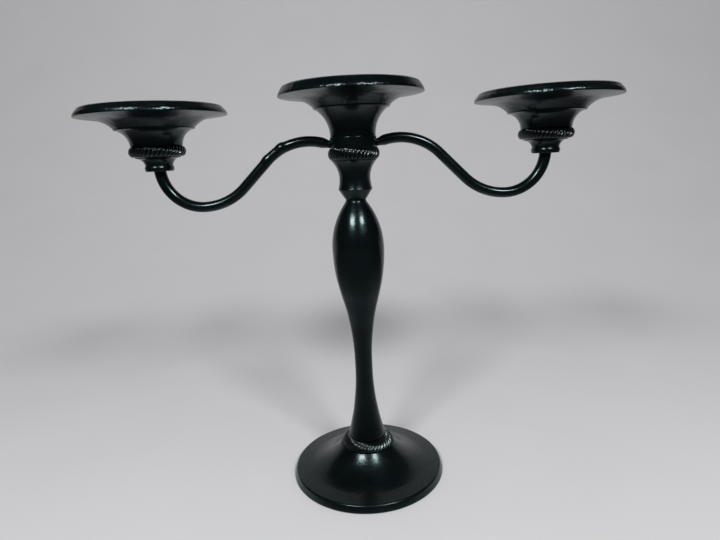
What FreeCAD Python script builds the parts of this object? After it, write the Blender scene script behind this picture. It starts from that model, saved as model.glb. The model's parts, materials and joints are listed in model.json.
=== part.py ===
import FreeCAD, Part
import math
import os
import re
import Sketcher

# Three-light candelabra of turned castings stacked on a tie rod, with two bent arms.
# The origin is on the table under the stem, +Z is up and the arms lie along X.

doc = FreeCAD.newDocument("Candelabra")

# Driving sizes in millimetres, angles in degrees
SIZES = {
    # Foot: bevelled rim, near-flat brim, then a trumpet sweep up to the seat of the rope ring
    "foot_radius": 58.6,
    "foot_bevel": 1.7,
    "foot_rim_height": 5.3,
    "foot_edge_width": 1.2,
    "foot_edge_drop": 0.9,
    "foot_edge_round": 1.4,
    "foot_brim_width": 10.0,
    "foot_brim_rise": 0.8,
    "foot_sweep": 42.0,
    "foot_seat_radius": 20.6,
    "foot_height": 22.6,
    "foot_wall": 3.2,
    "foot_land_width": 6.0,
    "foot_boss_radius": 13.0,
    "foot_spigot_radius": 11.0,
    # Threaded rod, nuts and washers
    "rod_radius": 3.0,
    "rod_clearance": 0.4,
    "rod_past_nut": 0.7,
    "rod_chamfer": 0.4,
    "rod_foot_gap": 1.5,
    "nut_flats": 10.0,
    "nut_height": 5.0,
    "nut_crown_drop": 0.5,
    "nut_crown_width": 0.85,
    "washer_radius": 6.0,
    "washer_thickness": 1.0,
    # Fits: radial gaps of spigots, threads and turning pins, and gaps at seats and in recesses
    "spigot_fit": 0.05,
    "thread_gap": 0.05,
    "running_fit": 0.05,
    "seat_gap": 0.1,
    "pin_end_gap": 0.4,
    "recess_gap": 0.8,
    # Rope rings, whose round side stands out by the swell: a quarter round on the foot, else a half round
    "foot_ring_radius": 20.4,
    "foot_ring_height": 7.0,
    "foot_ring_swell": 5.2,
    "hub_ring_radius": 18.1,
    "hub_ring_height": 8.2,
    "hub_ring_width": 4.05,
    "side_ring_radius": 18.9,
    "side_ring_height": 7.4,
    "ring_swell": 3.3,
    # Stem, with the share of its long S curve that is hollow
    "stem_length": 182.9,
    "stem_foot_radius": 14.35,
    "stem_waist_radius": 6.6,
    "stem_waist_height": 54.4,
    "stem_waist_length": 6.0,
    "stem_hollow_share": 0.59,
    "stem_bulb_radius": 18.85,
    "stem_bulb_drop": 35.5,
    "stem_top_radius": 7.2,
    "stem_neck_round": 4.0,
    "stem_socket_depth": 3.0,
    "stem_pin_radius": 4.8,
    "stem_pin_length": 6.0,
    # Capital
    "capital_foot_radius": 7.5,
    "capital_lip_radius": 12.15,
    "capital_lip_height": 6.9,
    "capital_waist_depth": 1.2,
    "capital_waist_height": 14.7,
    "capital_top_radius": 16.0,
    "capital_height": 26.9,
    # Arm hub
    "hub_radius": 16.3,
    "hub_band_height": 7.8,
    "hub_key_radius": 8.0,
    "hub_key_depth": 2.0,
    # Arms
    "arm_radius": 3.65,
    "arm_end_radius": 4.15,
    "arm_entry": 3.3,
    "arm_rise": 15.0,
    "arm_root_gap": 0.8,
    "arm_lead": 4.5,
    "arm_tenon_radius": 2.6,
    "arm_tenon_length": 6.0,
    "arm_straight": 25.2,
    "arm_foot_radius": 41.0,
    "arm_bend_radius": 28.2,
    "arm_reach": 135.4,
    "arm_drop": 10.8,
    # Collar of a side light: bead below, bell above
    "collar_height": 9.6,
    "collar_neck_radius": 9.2,
    "collar_bead_swell": 0.6,
    "collar_bead_height": 3.8,
    "collar_top_radius": 15.0,
    "collar_land": 0.6,
    "collar_socket_depth": 2.0,
    "collar_socket_gap": 0.5,
    # Cups
    "cup_top_radius": 25.4,
    "cup_floor": 2.5,
    "centre_cup_radius": 15.9,
    "centre_cup_straight": 1.5,
    "centre_cup_height": 19.0,
    "side_cup_radius": 17.2,
    "side_cup_height": 10.9,
    "side_spigot_radius": 11.0,
    # Pans with their candle sockets
    "centre_pan_radius": 50.0,
    "centre_pan_rim": 6.8,
    "side_pan_radius": 49.3,
    "side_pan_rim": 5.9,
    "pan_rim_lean": 2.3,
    "pan_brow_drop": 1.7,
    "pan_brow_width": 2.0,
    "pan_brow_round": 2.4,
    "pan_lip_width": 2.2,
    "pan_well_slope": 2.0,
    "pan_drop": 8.8,
    "pan_boss_radius": 26.4,
    "pan_boss_edge": 0.8,
    "pan_sweep": 20.0,
    "pan_brim_width": 11.5,
    "pan_brim_rise": 1.6,
    "pan_floor_rise": 1.2,
    "socket_radius": 11.0,
    "socket_wall": 2.5,
    "tube_length": 7.8,
}

# Places and sizes that follow from the driving ones
PLACES = {
    # Holes, nuts and sockets
    "rod_hole": "rod_radius + rod_clearance",
    "pin_hole": "rod_radius + running_fit",
    "nut_hole": "rod_radius + thread_gap",
    "nut_corner": "nut_flats / 2 / cos(30)",
    "nut_shoulder": "nut_height - nut_crown_drop",
    "nut_crown": "nut_corner - nut_crown_width",
    "socket_tube": "socket_radius + socket_wall",
    "cup_bore": "socket_tube + spigot_fit",
    "cup_recess": "max(washer_radius; nut_corner) + recess_gap",
    # Foot
    "foot_shoulder": "foot_radius - foot_bevel",
    "foot_shoulder_height": "foot_rim_height - foot_edge_drop",
    "foot_rim": "foot_shoulder - foot_edge_width",
    "foot_brim": "foot_rim - foot_brim_width",
    "foot_brim_height": "foot_rim_height + foot_brim_rise",
    "foot_spigot_top": "foot_height + foot_ring_height + stem_socket_depth - seat_gap",
    "foot_under_sweep": "foot_sweep + foot_wall",
    "foot_boss_root": "foot_height - foot_wall",
    "foot_hollow_height": "foot_brim_height - foot_wall",
    "foot_land": "foot_radius - foot_land_width",
    "foot_land_height": "foot_rim_height - foot_wall",
    "foot_ring_bore": "foot_spigot_radius + spigot_fit",
    "foot_ring_foot": "foot_ring_radius",
    "foot_ring_edge": "foot_ring_radius - foot_ring_swell",
    "foot_ring_round": "(foot_ring_swell ^ 2 + foot_ring_height ^ 2) / (2 * foot_ring_swell)",
    # Rod with its nut and washer under the foot
    "rod_end_radius": "rod_radius - rod_chamfer",
    "foot_nut_place": "rod_foot_gap + rod_past_nut",
    "foot_washer_place": "foot_nut_place + nut_height",
    "foot_boss_face": "foot_washer_place + washer_thickness",
    "rod_length": "head_nut_place + nut_height + rod_past_nut - rod_foot_gap",
    "rod_end_height": "rod_length - rod_chamfer",
    # Stem: each sweep starts upright at the waist, the swelling or the neck
    "stem_place": "foot_height + foot_ring_height",
    "stem_waist_top": "stem_waist_height + stem_waist_length",
    "stem_flare": "stem_foot_radius - stem_waist_radius",
    "stem_foot_sweep": "(stem_waist_height ^ 2 + stem_flare ^ 2) / (2 * stem_flare)",
    "stem_bulb_height": "stem_length - stem_bulb_drop",
    "stem_rise": "stem_bulb_height - stem_waist_top",
    "stem_lean": "(stem_bulb_radius - stem_waist_radius) / stem_rise",
    "stem_swing": "2 * stem_lean / (1 + stem_lean ^ 2)",
    "stem_hollow_sweep": "stem_rise / stem_swing * stem_hollow_share",
    "stem_belly_sweep": "stem_rise / stem_swing - stem_hollow_sweep",
    "stem_turn_radius": "stem_waist_radius + stem_hollow_sweep * stem_swing * stem_lean",
    "stem_turn_height": "stem_waist_top + stem_hollow_sweep * stem_swing",
    "stem_neck_lean": "(stem_bulb_radius - stem_top_radius) / stem_bulb_drop",
    "stem_neck_swing": "2 * stem_neck_lean / (1 + stem_neck_lean ^ 2)",
    "stem_shoulder_sweep": "stem_bulb_drop / stem_neck_swing - stem_neck_round",
    "stem_neck_radius": "stem_top_radius + stem_neck_round * stem_neck_swing * stem_neck_lean",
    "stem_neck_height": "stem_length - stem_neck_round * stem_neck_swing",
    "stem_pin_top": "stem_length + stem_pin_length",
    # Capital: two sweeps that meet upright at the waist
    "capital_place": "stem_place + stem_length + seat_gap",
    "capital_socket": "stem_pin_radius + running_fit",
    "capital_socket_depth": "stem_pin_length + pin_end_gap",
    "capital_waist_radius": "capital_lip_radius - capital_waist_depth",
    "capital_lip_rise": "capital_waist_height - capital_lip_height",
    "capital_low_sweep": "(capital_lip_rise ^ 2 + capital_waist_depth ^ 2) / (2 * capital_waist_depth)",
    "capital_top_step": "capital_top_radius - capital_waist_radius",
    "capital_top_rise": "capital_height - capital_waist_height",
    "capital_high_sweep": "(capital_top_rise ^ 2 + capital_top_step ^ 2) / (2 * capital_top_step)",
    # Arm hub
    "hub_place": "capital_place + capital_height",
    "hub_spigot_radius": "hub_ring_radius - hub_ring_width - spigot_fit",
    "hub_height": "hub_ring_height + hub_band_height",
    "hub_key_floor": "hub_height - hub_key_depth",
    "arm_hole_radius": "arm_tenon_radius + thread_gap",
    "arm_hole_z": "arm_tenon_z - hub_place",
    "arm_hole_length": "arm_tenon_length + hub_radius",
    # Centre cup, its pan, washer and nut
    "centre_cup_place": "hub_place + hub_key_floor",
    "centre_cup_key": "hub_key_radius - spigot_fit",
    "centre_cup_neck": "hub_key_depth + centre_cup_straight",
    "centre_cup_rim": "hub_key_depth + centre_cup_height",
    "centre_cup_rise": "centre_cup_rim - centre_cup_neck",
    "centre_cup_step": "cup_top_radius - centre_cup_radius",
    "centre_cup_sweep": "(centre_cup_rise ^ 2 + centre_cup_step ^ 2) / (2 * centre_cup_step)",
    "centre_cup_seat": "centre_cup_rim - tube_length",
    "centre_cup_floor": "hub_key_depth + cup_floor",
    "centre_pan_place": "centre_cup_place + centre_cup_seat",
    "head_washer_place": "centre_cup_place + centre_cup_floor + seat_gap",
    "head_nut_place": "head_washer_place + washer_thickness",
    # Arm: tenon in the hub, lead, arch, straight slope, wide bend to the low point, tight bend up
    "arm_height": "hub_place + hub_ring_height + arm_entry",
    "arm_end_height": "arm_height - arm_drop",
    "arm_tilt": "90 - arm_rise",
    "arm_tenon_x": "hub_radius - arm_tenon_length * cos(arm_rise)",
    "arm_tenon_z": "arm_height - arm_tenon_length * sin(arm_rise)",
    "arm_tenon_reach": "arm_tenon_length + arm_root_gap",
    "arm_root_x": "hub_radius + arm_root_gap * cos(arm_rise)",
    "arm_root_z": "arm_height + arm_root_gap * sin(arm_rise)",
    "arm_start_x": "arm_root_x + arm_lead * cos(arm_rise)",
    "arm_start_z": "arm_root_z + arm_lead * sin(arm_rise)",
    "arm_low_x": "arm_reach - arm_bend_radius",
    "arm_low_z": "arm_end_height - arm_bend_radius",
    # The arch is as large as lets its slope run on, straight, into the wide bend
    "bend_centre_z": "arm_low_z + arm_foot_radius",
    "arm_span": "arm_low_x - arm_start_x",
    "arm_climb": "bend_centre_z - arm_start_z",
    "arm_room": "arm_span ^ 2 + arm_climb ^ 2 - arm_foot_radius ^ 2 - arm_straight ^ 2",
    "arm_spread": "arm_foot_radius + arm_span * sin(arm_rise) - arm_climb * cos(arm_rise)",
    "arm_arch_radius": "arm_room / (2 * arm_spread)",
    "arch_centre_x": "arm_start_x + arm_arch_radius * sin(arm_rise)",
    "arch_centre_z": "arm_start_z - arm_arch_radius * cos(arm_rise)",
    "centres_across": "arm_low_x - arch_centre_x",
    "centres_up": "bend_centre_z - arch_centre_z",
    "radii_sum": "arm_arch_radius + arm_foot_radius",
    "centres_square": "centres_across ^ 2 + centres_up ^ 2",
    "normal_x": "(radii_sum * centres_across - arm_straight * centres_up) / centres_square",
    "normal_z": "(arm_straight * centres_across + radii_sum * centres_up) / centres_square",
    "arm_fall_x": "arch_centre_x + arm_arch_radius * normal_x",
    "arm_fall_z": "arch_centre_z + arm_arch_radius * normal_z",
    "arm_foot_x": "arm_low_x - arm_foot_radius * normal_x",
    "arm_foot_z": "bend_centre_z - arm_foot_radius * normal_z",
    "arm_pin_length": "arm_nut_place + nut_height + rod_past_nut - arm_end_height",
    # Side lights
    "left_reach": "-arm_reach",
    "collar_place": "arm_end_height + seat_gap - collar_socket_depth",
    "collar_socket": "arm_end_radius + collar_socket_gap",
    "collar_bead_round": "(collar_bead_swell ^ 2 + collar_bead_height ^ 2 / 4) / (2 * collar_bead_swell)",
    "collar_bell_top": "collar_height - collar_land",
    "collar_bell_rise": "collar_bell_top - collar_bead_height",
    "collar_bell_step": "collar_top_radius - collar_neck_radius",
    "collar_bell_sweep": "(collar_bell_rise ^ 2 + collar_bell_step ^ 2) / (2 * collar_bell_rise)",
    "side_cup_place": "collar_place + collar_height",
    "side_cup_rim": "side_ring_height + side_cup_height",
    "side_cup_step": "cup_top_radius - side_cup_radius",
    "side_cup_sweep": "(side_cup_height ^ 2 + side_cup_step ^ 2) / (2 * side_cup_step)",
    "side_cup_seat": "side_cup_rim - tube_length",
    "side_pan_place": "side_cup_place + side_cup_seat",
    "arm_washer_place": "side_cup_place + cup_floor + seat_gap",
    "arm_nut_place": "arm_washer_place + washer_thickness",
    # Pan, measured from the lower end of its socket tube
    "pan_boss_height": "tube_length + pan_boss_edge",
    "pan_edge_height": "tube_length + pan_drop",
    "pan_brim_height": "pan_edge_height - pan_brim_rise",
    "socket_depth": "pan_edge_height + pan_floor_rise",
}

for ring in ("hub", "side"):
    PLACES.update({
        f"{ring}_ring_bore": f"{ring}_spigot_radius + spigot_fit",
        f"{ring}_ring_foot": f"{ring}_ring_radius - ring_swell",
        f"{ring}_ring_edge": f"{ring}_ring_radius - ring_swell",
        f"{ring}_ring_round": f"(ring_swell ^ 2 + {ring}_ring_height ^ 2 / 4) / (2 * ring_swell)",
    })

for light in ("centre", "side"):
    PLACES.update({
        f"{light}_pan_brim": f"{light}_pan_radius - pan_brim_width",
        f"{light}_pan_brow": f"{light}_pan_radius - pan_rim_lean",
        f"{light}_pan_top": f"pan_edge_height + {light}_pan_rim",
        f"{light}_pan_brow_height": f"{light}_pan_top - pan_brow_drop",
        f"{light}_pan_lip": f"{light}_pan_brow - pan_brow_width",
        f"{light}_pan_well_top": f"{light}_pan_lip - pan_lip_width",
        f"{light}_pan_well": f"{light}_pan_well_top - pan_well_slope",
    })


def formula_of(name):
    """The formula of a place, with each driving size named through its own sheet."""
    return re.sub(r"[a-z_]+", lambda word: f"Sizes.{word[0]}" if word[0] in SIZES else word[0], PLACES[name])


sizes = doc.addObject("Spreadsheet::Sheet", "Sizes")
for row, (name, number) in enumerate(SIZES.items(), start=1):
    sizes.set(f"A{row}", str(number))
    sizes.setAlias(f"A{row}", name)
places = doc.addObject("Spreadsheet::Sheet", "Places")
for row, name in enumerate(PLACES, start=1):
    places.setAlias(f"A{row}", name)
for row, name in enumerate(PLACES, start=1):
    places.set(f"A{row}", f"={formula_of(name)}")
doc.recompute()


def value(name):
    """The number behind a named size or place."""
    sheet = sizes if name in SIZES else places
    return float(sheet.get(name))


def bound(name):
    """The expression that ties a property to a named size or place."""
    return f"Sizes.{name}" if name in SIZES else f"Places.{name}"


def new_body(label):
    """A body whose label names its piece."""
    body = doc.addObject("PartDesign::Body", label)
    body.Label = label
    return body


def origin_feature(body, role):
    """One of the body's own origin planes or axes."""
    return next(feature for feature in body.Origin.OriginFeatures if feature.Role == role)


def new_sketch(body, name, role):
    """An empty sketch on one of the body's origin planes."""
    sketch = body.newObject("Sketcher::SketchObject", name)
    sketch.AttachmentSupport = (origin_feature(body, role), [""])
    sketch.MapMode = "FlatFace"
    return sketch


def pin_point(sketch, geometry, end, corner):
    """Holds one end of an edge at its named place, or on an axis where the name is None."""
    for kind, axis, name in (("DistanceX", -2, corner[0]), ("DistanceY", -1, corner[1])):
        if name is None:
            sketch.addConstraint(Sketcher.Constraint("PointOnObject", geometry, end, axis))
        else:
            index = sketch.addConstraint(Sketcher.Constraint(kind, -1, 1, geometry, end, value(name)))
            sketch.setExpression(f"Constraints[{index}]", bound(name))


def corner_point(corner):
    """The place of a corner in the plane of its sketch."""
    across, up = (0.0 if name is None else value(name) for name in corner[:2])
    return FreeCAD.Vector(across, up, 0)


def arc_between(start, end, radius, side):
    """The shorter arc from start to end with its centre on the given side of the way."""
    chord = end - start
    middle = (start + end) * 0.5
    left = FreeCAD.Vector(-chord.y, chord.x, 0).normalize()
    reach = math.sqrt(max(radius ** 2 - chord.Length ** 2 / 4, 0))
    centre = middle + left * (reach if side == "left" else -reach)
    first, last = (start, end) if side == "left" else (end, start)
    angles = [math.atan2(point.y - centre.y, point.x - centre.x) for point in (first, last)]
    circle = Part.Circle(centre, FreeCAD.Vector(0, 0, 1), radius)
    return Part.ArcOfCircle(circle, *angles)


def draw(sketch, corners, closed=True):
    """Draws an outline through corners (across, up), each with (radius, side) where an arc leaves it."""
    runs = list(zip(corners, corners[1:] + corners[:1]))
    if not closed:
        runs.pop()
    ends = []
    for here, there in runs:
        start, end = corner_point(here), corner_point(there)
        if len(here) == 2:
            edge = sketch.addGeometry(Part.LineSegment(start, end))
            ends.append((edge, 1, 2))
        else:
            radius, side = here[2:]
            edge = sketch.addGeometry(arc_between(start, end, value(radius), side))
            ends.append((edge, 1, 2) if side == "left" else (edge, 2, 1))
    for (edge, _, last), (following, first, _) in zip(ends, ends[1:] + (ends[:1] if closed else [])):
        sketch.addConstraint(Sketcher.Constraint("Coincident", edge, last, following, first))
    for (edge, first, _), corner in zip(ends, corners):
        pin_point(sketch, edge, first, corner)
    if not closed:
        pin_point(sketch, ends[-1][0], ends[-1][2], corners[-1])
    for (edge, _, _), (here, _) in zip(ends, runs):
        if len(here) > 2:
            index = sketch.addConstraint(Sketcher.Constraint("Radius", edge, value(here[2])))
            sketch.setExpression(f"Constraints[{index}]", bound(here[2]))


def draw_circle(sketch, centre, radius):
    """Draws a circle of a named radius round a named place."""
    circle = Part.Circle(corner_point(centre), FreeCAD.Vector(0, 0, 1), value(radius))
    edge = sketch.addGeometry(circle)
    pin_point(sketch, edge, 3, centre)
    index = sketch.addConstraint(Sketcher.Constraint("Radius", edge, value(radius)))
    sketch.setExpression(f"Constraints[{index}]", bound(radius))


def place(body, across, up, turn=0):
    """Puts a body at its named place, turned about the upright axis."""
    body.Placement = FreeCAD.Placement(
        FreeCAD.Vector(), FreeCAD.Rotation(FreeCAD.Vector(0, 0, 1), turn)
    )
    for axis, name in (("x", across), ("z", up)):
        if name is not None:
            body.setExpression(f"Placement.Base.{axis}", bound(name))


def turned(label, corners, across=None, up=None):
    """A piece of revolution about its own upright axis."""
    body = new_body(label)
    sketch = new_sketch(body, f"{label}_outline", "XZ_Plane")
    draw(sketch, corners)
    turning = body.newObject("PartDesign::Revolution", f"{label}_turning")
    turning.Profile = sketch
    turning.ReferenceAxis = (sketch, ["V_Axis"])
    turning.Angle = 360
    place(body, across, up)
    return body


def primitive(body, kind, name, sizes_of, across, up, tilt=None):
    """A cylinder, cone or prism of a body, set at a named place in its XZ plane and leaned towards +X."""
    feature = body.newObject(f"PartDesign::{kind}", name)
    feature.AttachmentSupport = (origin_feature(body, "XY_Plane"), [""])
    feature.MapMode = "FlatFace"
    if tilt is not None:
        lean = FreeCAD.Rotation(FreeCAD.Vector(0, 1, 0), value(tilt))
        feature.AttachmentOffset = FreeCAD.Placement(FreeCAD.Vector(), lean)
        feature.setExpression("AttachmentOffset.Rotation.Angle", bound(tilt))
    for axis, place_name in (("x", across), ("z", up)):
        if place_name is not None:
            feature.setExpression(f"AttachmentOffset.Base.{axis}", bound(place_name))
    for size_name, bound_name in sizes_of.items():
        feature.setExpression(size_name, bound(bound_name))
    return feature


def washer(label, across, up):
    """A plain washer round the rod or a pin."""
    return turned(label, [
        ("rod_hole", None),
        ("washer_radius", None),
        ("washer_radius", "washer_thickness"),
        ("rod_hole", "washer_thickness"),
    ], across, up)


def nut(label, across, up):
    """A hexagon nut with its upper corners turned off."""
    body = new_body(label)
    hexagon = {"Circumradius": "nut_corner", "Height": "nut_height"}
    primitive(body, "AdditivePrism", f"{label}_hexagon", hexagon, None, None)
    bore = {"Radius": "nut_hole", "Height": "nut_height"}
    primitive(body, "SubtractiveCylinder", f"{label}_bore", bore, None, None)
    sketch = new_sketch(body, f"{label}_corner", "XZ_Plane")
    draw(sketch, [
        ("nut_corner", "nut_shoulder"),
        ("nut_corner", "nut_height"),
        ("nut_crown", "nut_height"),
    ])
    groove = body.newObject("PartDesign::Groove", f"{label}_crown")
    groove.Profile = sketch
    groove.ReferenceAxis = (sketch, ["V_Axis"])
    groove.Angle = 360
    place(body, across, up)
    return body


def rope_ring(label, ring, across, up):
    """The band of a rope-twist ring: flat faces and bore, round outer side."""
    return turned(label, [
        (f"{ring}_ring_bore", None),
        (f"{ring}_ring_foot", None, f"{ring}_ring_round", "left"),
        (f"{ring}_ring_edge", f"{ring}_ring_height"),
        (f"{ring}_ring_bore", f"{ring}_ring_height"),
    ], across, up)


def pan(label, light, across, up):
    """A candle pan: socket tube, boss, flared underside, leaning rim and flat well."""
    return turned(label, [
        ("socket_radius", None),
        ("socket_tube", None),
        ("socket_tube", "tube_length"),
        ("pan_boss_radius", "tube_length"),
        ("pan_boss_radius", "pan_boss_height", "pan_sweep", "right"),
        (f"{light}_pan_brim", "pan_brim_height"),
        (f"{light}_pan_radius", "pan_edge_height"),
        (f"{light}_pan_brow", f"{light}_pan_brow_height", "pan_brow_round", "left"),
        (f"{light}_pan_lip", f"{light}_pan_top"),
        (f"{light}_pan_well_top", f"{light}_pan_top"),
        (f"{light}_pan_well", "socket_depth"),
        ("socket_radius", "socket_depth"),
    ], across, up)


def foot():
    """The hollow foot with a boss for the nut and a spigot through the rope ring into the stem."""
    return turned("foot", [
        ("foot_radius", None),
        ("foot_shoulder", "foot_shoulder_height", "foot_edge_round", "left"),
        ("foot_rim", "foot_rim_height"),
        ("foot_brim", "foot_brim_height", "foot_sweep", "right"),
        ("foot_seat_radius", "foot_height"),
        ("foot_spigot_radius", "foot_height"),
        ("foot_spigot_radius", "foot_spigot_top"),
        ("rod_hole", "foot_spigot_top"),
        ("rod_hole", "foot_boss_face"),
        ("foot_boss_radius", "foot_boss_face"),
        ("foot_boss_radius", "foot_boss_root", "foot_under_sweep", "left"),
        ("foot_brim", "foot_hollow_height"),
        ("foot_land", "foot_land_height"),
        ("foot_land", None),
    ])


def stem():
    """The baluster stem with a socket below, a through hole and a turning pin on top."""
    return turned("stem", [
        ("foot_ring_bore", None),
        ("stem_foot_radius", None, "stem_foot_sweep", "right"),
        ("stem_waist_radius", "stem_waist_height"),
        ("stem_waist_radius", "stem_waist_top", "stem_hollow_sweep", "right"),
        ("stem_turn_radius", "stem_turn_height", "stem_belly_sweep", "left"),
        ("stem_bulb_radius", "stem_bulb_height", "stem_shoulder_sweep", "left"),
        ("stem_neck_radius", "stem_neck_height", "stem_neck_round", "right"),
        ("stem_top_radius", "stem_length"),
        ("stem_pin_radius", "stem_length"),
        ("stem_pin_radius", "stem_pin_top"),
        ("rod_hole", "stem_pin_top"),
        ("rod_hole", "stem_socket_depth"),
        ("foot_ring_bore", "stem_socket_depth"),
    ], None, "stem_place")


def tie_rod():
    """The rod that clamps the stack, chamfered at both ends."""
    return turned("tie_rod", [
        (None, None),
        ("rod_end_radius", None),
        ("rod_radius", "rod_chamfer"),
        ("rod_radius", "rod_end_height"),
        ("rod_end_radius", "rod_length"),
        (None, "rod_length"),
    ], None, "rod_foot_gap")


def capital():
    """The neck piece that turns on the stem's pin and carries the hub."""
    return turned("capital", [
        ("capital_socket", None),
        ("capital_foot_radius", None),
        ("capital_lip_radius", "capital_lip_height", "capital_low_sweep", "right"),
        ("capital_waist_radius", "capital_waist_height", "capital_high_sweep", "right"),
        ("capital_top_radius", "capital_height"),
        ("rod_hole", "capital_height"),
        ("rod_hole", "capital_socket_depth"),
        ("capital_socket", "capital_socket_depth"),
    ], None, "capital_place")


def arm_hub():
    """The band that takes both arms, on a spigot through its rope ring."""
    body = turned("arm_hub", [
        ("rod_hole", None),
        ("hub_spigot_radius", None),
        ("hub_spigot_radius", "hub_ring_height"),
        ("hub_radius", "hub_ring_height"),
        ("hub_radius", "hub_height"),
        ("hub_key_radius", "hub_height"),
        ("hub_key_radius", "hub_key_floor"),
        ("rod_hole", "hub_key_floor"),
    ], None, "hub_place")
    doc.recompute()
    bore = {"Radius": "arm_hole_radius", "Height": "arm_hole_length"}
    hole = primitive(body, "SubtractiveCylinder", "arm_hole", bore, "arm_tenon_x", "arm_hole_z", "arm_tilt")
    pair = body.newObject("PartDesign::PolarPattern", "arm_holes")
    pair.Originals = [hole]
    pair.Axis = (origin_feature(body, "Z_Axis"), [""])
    pair.Angle = 360
    pair.Occurrences = 2
    body.Tip = pair
    return body


def arm(label, turn):
    """A bent arm: tenon and cone at the hub, rod to the low point, swelling bend, pin for the light."""
    body = new_body(label)
    route = new_sketch(body, f"{label}_route", "XZ_Plane")
    draw(route, [
        ("arm_start_x", "arm_start_z", "arm_arch_radius", "right"),
        ("arm_fall_x", "arm_fall_z"),
        ("arm_foot_x", "arm_foot_z", "arm_foot_radius", "left"),
        ("arm_low_x", "arm_low_z"),
    ], closed=False)
    section = new_sketch(body, f"{label}_section", "YZ_Plane")
    section.setExpression("AttachmentOffset.Base.z", bound("arm_low_x"))
    draw_circle(section, (None, "arm_low_z"), "arm_radius")
    rod = body.newObject("PartDesign::AdditivePipe", f"{label}_rod")
    rod.Profile = section
    rod.Spine = route
    doc.recompute()

    bend = new_sketch(body, f"{label}_bend", "XZ_Plane")
    draw(bend, [
        ("arm_low_x", "arm_low_z", "arm_bend_radius", "left"),
        ("arm_reach", "arm_end_height"),
    ], closed=False)
    low_section = new_sketch(body, f"{label}_low_section", "YZ_Plane")
    low_section.setExpression("AttachmentOffset.Base.z", bound("arm_low_x"))
    draw_circle(low_section, (None, "arm_low_z"), "arm_radius")
    end_section = new_sketch(body, f"{label}_end_section", "XY_Plane")
    end_section.setExpression("AttachmentOffset.Base.z", bound("arm_end_height"))
    draw_circle(end_section, ("arm_reach", None), "arm_end_radius")
    swelling = body.newObject("PartDesign::AdditivePipe", f"{label}_swelling")
    swelling.Profile = low_section
    swelling.Spine = bend
    swelling.Transformation = "Multisection"
    swelling.Sections = [(end_section, [""])]
    doc.recompute()

    lead = {"Radius1": "arm_tenon_radius", "Radius2": "arm_radius", "Height": "arm_lead"}
    primitive(body, "AdditiveCone", f"{label}_lead", lead, "arm_root_x", "arm_root_z", "arm_tilt")
    tenon = {"Radius": "arm_tenon_radius", "Height": "arm_tenon_reach"}
    primitive(body, "AdditiveCylinder", f"{label}_tenon", tenon, "arm_tenon_x", "arm_tenon_z", "arm_tilt")
    pin = {"Radius": "rod_radius", "Height": "arm_pin_length"}
    primitive(body, "AdditiveCylinder", f"{label}_pin", pin, "arm_reach", "arm_end_height")
    place(body, None, None, turn)
    return body


def collar(label, across):
    """The bead and bell that turn on the arm's pin, with a socket that clears the arm."""
    return turned(label, [
        ("collar_socket", None),
        ("collar_neck_radius", None, "collar_bead_round", "left"),
        ("collar_neck_radius", "collar_bead_height", "collar_bell_sweep", "right"),
        ("collar_top_radius", "collar_bell_top"),
        ("collar_top_radius", "collar_height"),
        ("pin_hole", "collar_height"),
        ("pin_hole", "collar_socket_depth"),
        ("collar_socket", "collar_socket_depth"),
    ], across, "collar_place")


def side_cup(label, across):
    """The short trumpet on a spigot through its rope ring, bored for the pan's tube and the nut."""
    return turned(label, [
        ("rod_hole", None),
        ("side_spigot_radius", None),
        ("side_spigot_radius", "side_ring_height"),
        ("side_cup_radius", "side_ring_height", "side_cup_sweep", "right"),
        ("cup_top_radius", "side_cup_rim"),
        ("cup_bore", "side_cup_rim"),
        ("cup_bore", "side_cup_seat"),
        ("cup_recess", "side_cup_seat"),
        ("cup_recess", "cup_floor"),
        ("rod_hole", "cup_floor"),
    ], across, "side_cup_place")


def centre_cup():
    """The tall trumpet keyed into the hub, bored for the pan's tube and the nut."""
    return turned("centre_cup", [
        ("rod_hole", None),
        ("centre_cup_key", None),
        ("centre_cup_key", "hub_key_depth"),
        ("centre_cup_radius", "hub_key_depth"),
        ("centre_cup_radius", "centre_cup_neck", "centre_cup_sweep", "right"),
        ("cup_top_radius", "centre_cup_rim"),
        ("cup_bore", "centre_cup_rim"),
        ("cup_bore", "centre_cup_seat"),
        ("cup_recess", "centre_cup_seat"),
        ("cup_recess", "centre_cup_floor"),
        ("rod_hole", "centre_cup_floor"),
    ], None, "centre_cup_place")


# The stand
pieces = [
    foot(),
    rope_ring("foot_rope_ring", "foot", None, "foot_height"),
    stem(),
    tie_rod(),
    washer("foot_washer", None, "foot_washer_place"),
    nut("foot_nut", None, "foot_nut_place"),
    washer("head_washer", None, "head_washer_place"),
    nut("head_nut", None, "head_nut_place"),
]

# The head that turns on the stem
pieces += [
    capital(),
    rope_ring("hub_rope_ring", "hub", None, "hub_place"),
    arm_hub(),
    centre_cup(),
    pan("centre_pan", "centre", None, "centre_pan_place"),
]

# Both arms with the lights that turn on them
for side, reach, turn in (("left", "left_reach", 180), ("right", "arm_reach", 0)):
    pieces += [
        arm(f"{side}_arm", turn),
        washer(f"{side}_arm_washer", reach, "arm_washer_place"),
        nut(f"{side}_arm_nut", reach, "arm_nut_place"),
        collar(f"{side}_collar", reach),
        rope_ring(f"{side}_rope_ring", "side", reach, "side_cup_place"),
        side_cup(f"{side}_cup", reach),
        pan(f"{side}_pan", "side", reach, "side_pan_place"),
    ]

doc.recompute()

failed = [item.Name for item in doc.Objects if {"Invalid", "Error"} & set(item.State)]
failed += [body.Label for body in pieces if body.Shape.isNull() or not body.Shape.isValid()]
failed += [body.Label for body in pieces if len(body.Shape.Solids) != 1]
if failed:
    raise RuntimeError(f"these pieces failed: {failed}")

os.makedirs("parts", exist_ok=True)
for body in pieces:
    body.Shape.exportStep(f"parts/{body.Label}.step")
    print(f"{body.Label}: {body.Shape.Volume:.1f} mm3")
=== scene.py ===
import json
import math

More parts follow.
